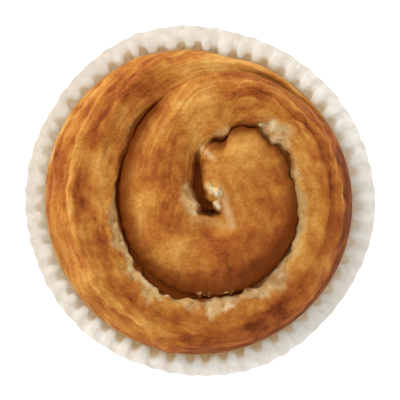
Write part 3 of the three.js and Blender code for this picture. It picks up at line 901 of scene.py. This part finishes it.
# %% [markdown]
# ### Baked croissant dough, brushed with egg
# Egg wash and butter brown the crust in the oven, from straw through amber to red-brown, and leave a soft
# sheen. The browning painted on the strip, with its painted shade and painted highlights, picks the colour
# from a ramp. Flecks 3 mm wide, a grain under 1 mm, and streaks about 1 mm wide that run with the strip, as
# the sheets of dough do, break it up. The torn crumb is matt and pale, and beside the groove and in the slit
# the colour is mixed towards a dark even brown, painted shade.

# %% Material: where the browning comes from
STREAK_WIDTH, STREAK_RUN = 1.25, 7.81
FLECK_SIZE = 3.03
GRAIN_SIZE = 0.769
STREAK_BROWNING, FLECK_BROWNING, GRAIN_BROWNING = 0.18, 0.45, 0.45
PLAN_SCALE = STREAK_WIDTH / STREAK_RUN / MM

baked, tree, output = new_material("egg_washed_croissant_crust")
bake_and_painted_light_value = node(tree, "ShaderNodeAttribute", attribute_name="bake")
crumb_value = node(tree, "ShaderNodeAttribute", attribute_name="crumb")
painted_groove_shade_value = node(tree, "ShaderNodeAttribute", attribute_name="gap")
place_on_object = node(tree, "ShaderNodeTexCoord")
on_strip = node(tree, "ShaderNodeSeparateXYZ", {0: (node(tree, "ShaderNodeUVMap", uv_map="strip"), 0)})
on_plan = node(tree, "ShaderNodeSeparateXYZ", {0: (place_on_object, "Object")})
slant = node(
    tree, "ShaderNodeMath", {0: (on_strip, 0), 1: LAMINATION_SLANT, 2: (on_strip, 1)},
    operation="MULTIPLY_ADD",
)
slow_x = node(tree, "ShaderNodeMath", {0: (on_plan, 0), 1: PLAN_SCALE}, operation="MULTIPLY")
slow_y = node(tree, "ShaderNodeMath", {0: (on_plan, 1), 1: PLAN_SCALE}, operation="MULTIPLY")
with_the_strip = node(tree, "ShaderNodeCombineXYZ", {0: (slow_x, 0), 1: (slow_y, 0), 2: (slant, 0)})
streaks = node(tree, "ShaderNodeTexNoise", {
    "Vector": (with_the_strip, 0), "Scale": 1 / STREAK_WIDTH, "Detail": 4.0, "Roughness": 0.6,
})
flecks = node(tree, "ShaderNodeTexNoise", {
    "Vector": (place_on_object, "Object"), "Scale": 1 / (FLECK_SIZE * MM), "Detail": 6.0,
    "Roughness": 0.65,
})
grain = node(tree, "ShaderNodeTexNoise", {
    "Vector": (place_on_object, "Object"), "Scale": 1 / (GRAIN_SIZE * MM), "Detail": 3.0,
    "Roughness": 0.6,
})

# %% Material: the browning, with the streaks, flecks and grain added one after the other
# The browning also carries the patches' painted shade and highlights and the folds' painted brow and foot.
browning_and_painted_light = (bake_and_painted_light_value, "Fac")
for pattern, strength in ((streaks, STREAK_BROWNING), (flecks, FLECK_BROWNING), (grain, GRAIN_BROWNING)):
    centred = node(tree, "ShaderNodeMath", {0: (pattern, 0), 1: 0.5}, operation="SUBTRACT")
    added = node(
        tree, "ShaderNodeMath", {0: (centred, 0), 1: strength, 2: browning_and_painted_light}, operation="MULTIPLY_ADD",
    )
    browning_and_painted_light = (added, 0)

# %% Material: colours and sheen of the baked dough
CRUMB_BROWNING = -0.4
CRUST_ROUGHNESS, CRUMB_ROUGHNESS = 0.55, 0.85
CRUST_BUMP, STREAK_BUMP = 0.5, 0.8
LIGHT_REACH = 1.8

crust_colour = ramp(tree, browning_and_painted_light, [
    (0.05, "#dcb066"), (0.28, "#cd9448"), (0.5, "#b87630"), (0.68, "#a55c25"), (0.85, "#8d471b"),
    (1.0, "#6d3312"),
])
crumb_tone = node(
    tree, "ShaderNodeMath", {0: (bake_and_painted_light_value, "Fac"), 1: CRUMB_BROWNING, 2: (flecks, 0)},
    operation="MULTIPLY_ADD",
)
crumb_colour = ramp(tree, (crumb_tone, 0), [
    (0.1, "#b88a52"), (0.3, "#cfa66f"), (0.5, "#dfc598"), (0.75, "#ecdcc2"),
])
with_crumb = node(
    tree, "ShaderNodeMix", {0: (crumb_value, "Fac"), 6: (crust_colour, 0), 7: (crumb_colour, 0)},
    data_type="RGBA",
)
# Painted shade: beside the groove and in the slit the colour is mixed towards a dark brown.
with_painted_groove_shade = node(
    tree, "ShaderNodeMix", {0: (painted_groove_shade_value, "Fac"), 6: (with_crumb, 2), 7: colour("#75380d")},
    data_type="RGBA",
)
roughness = node(tree, "ShaderNodeMapRange", {
    "Value": (crumb_value, "Fac"), "To Min": CRUST_ROUGHNESS, "To Max": CRUMB_ROUGHNESS,
})
bump_sum = node(
    tree, "ShaderNodeMath", {0: (streaks, 0), 1: STREAK_BUMP, 2: (grain, 0)}, operation="MULTIPLY_ADD",
)
bump = node(tree, "ShaderNodeBump", {"Height": (bump_sum, 0), "Strength": 0.7, "Distance": CRUST_BUMP * MM})
shader = node(tree, "ShaderNodeBsdfPrincipled", {
    "Base Color": (with_painted_groove_shade, 2), "Roughness": (roughness, 0), "Normal": (bump, 0), "IOR": 1.4,
    "Specular IOR Level": 0.06, "Subsurface Weight": 0.4, "Subsurface Radius": (1.0, 0.4, 0.15),
    "Subsurface Scale": LIGHT_REACH * MM,
})
tree.links.new(shader.outputs[0], output.inputs[0])
for piece in (dough, flakes):
    piece.data.materials.append(baked)

# %% [markdown]
# ### Greaseproof paper
# Case paper is thin, white and matt, with soft fibres that make cloudy spots 2 mm wide. Where it touches
# the dough it is tan and a little darker, partly butter soaked into it and partly painted shade in the
# folds. It lets some light through, so the lit side glows.

# %% Material: greaseproof paper
FIBRE_SIZE, FIBRE_BUMP = 2.0, 0.2
SHARE_LET_THROUGH = 0.5

paper, tree, output = new_material("pressed_greaseproof_paper")
grease_and_painted_shade_value = node(tree, "ShaderNodeAttribute", attribute_name="grease")
place_on_object = node(tree, "ShaderNodeTexCoord")
fibre = node(
    tree, "ShaderNodeTexNoise",
    {"Vector": (place_on_object, "Object"), "Scale": 1 / (FIBRE_SIZE * MM), "Detail": 4.0},
)
clean = ramp(tree, (fibre, 0), [(0.3, "#ebebe6"), (0.7, "#f6f6f2")])
# Tan: partly butter stain, partly painted shade.
soaked_and_painted_shade = ramp(tree, (fibre, 0), [(0.3, "#d2ba92"), (0.7, "#e4cda9")])
paper_colour = node(
    tree, "ShaderNodeMix", {0: (grease_and_painted_shade_value, "Fac"), 6: (clean, 0), 7: (soaked_and_painted_shade, 0)}, data_type="RGBA",
)
bump = node(tree, "ShaderNodeBump", {"Height": (fibre, 0), "Strength": 0.25, "Distance": FIBRE_BUMP * MM})
shader = node(tree, "ShaderNodeBsdfPrincipled", {
    "Base Color": (paper_colour, 2), "Roughness": 0.8, "Normal": (bump, 0), "IOR": 1.5,
    "Specular IOR Level": 0.25,
})
through = node(tree, "ShaderNodeBsdfTranslucent", {"Color": (paper_colour, 2)})
mixed = node(tree, "ShaderNodeMixShader", {0: SHARE_LET_THROUGH, 1: (shader, 0), 2: (through, 0)})
tree.links.new(mixed.outputs[0], output.inputs[0])
case.data.materials.append(paper)

# %% [markdown]
# ## Floor and light
# A product picture: a white light table that leaves almost no shadow, a large soft light from the upper
# left, and white all round to fill the rest.

# %% The floor
FLOOR_SIZE = 3000.0
FLOOR_DROP = 0.05
GLOW = 1.1

white, tree, output = new_material("lit_white_acrylic_table")
shader = node(tree, "ShaderNodeBsdfPrincipled", {
    "Base Color": colour("#ffffff"), "Roughness": 0.9, "Emission Color": colour("#ffffff"),
    "Emission Strength": GLOW,
})
tree.links.new(shader.outputs[0], output.inputs[0])
half = FLOOR_SIZE / 2
floor_corners = np.array([(-half, -half), (half, -half), (half, half), (-half, half)])
floor = new_piece("floor", np.hstack([floor_corners, np.full((4, 1), -FLOOR_DROP)]), [[0, 1, 2, 3]])
floor.data.materials.append(white)


# %% The lights
CROWN_MIDDLE = np.array([0, 0, 45.0])
KEY_PLACE, KEY_SIZE, KEY_POWER = (-500, 420, 640), 600, 4.4
ROOM_LIGHT = 0.8


def soft_light(name, where, size, power):
    """A square area light that faces the middle of the crown: its three axes are the way back from there,
    and two across it."""
    data = bpy.data.lights.new(name, "AREA")
    data.shape = "SQUARE"
    data.size = size * MM
    data.energy = power
    light = bpy.data.objects.new(name, data)
    where = np.array(where) * MM
    back = where - CROWN_MIDDLE * MM
    back /= np.linalg.norm(back)
    side = np.cross([0, 1, 0], back)
    side /= np.linalg.norm(side)
    matrix = np.eye(4)
    matrix[:3, 0], matrix[:3, 1], matrix[:3, 2], matrix[:3, 3] = side, np.cross(back, side), back, where
    light.matrix_world = matrix.T.tolist()
    bpy.context.scene.collection.objects.link(light)


soft_light("key_light", KEY_PLACE, KEY_SIZE, KEY_POWER)
world = bpy.data.worlds.new("white_room")
world.use_nodes = True
world.node_tree.nodes["Background"].inputs[0].default_value = (1, 1, 1, 1)
world.node_tree.nodes["Background"].inputs[1].default_value = ROOM_LIGHT
bpy.context.scene.world = world
bpy.context.scene.view_settings.view_transform = "Standard"

# %% [markdown]
# ## Joining the model
# Each piece rides on the part's one body, and the solids that the dough and the case take the place of are
# hidden.

# %% Riding, and hiding the replaced solids
for piece, solid, finish in ((dough, "pastry", "baked_dough"), (case, "paper_case", "case_paper")):
    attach(piece, "root")
    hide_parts(solid)
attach(flakes, "root")
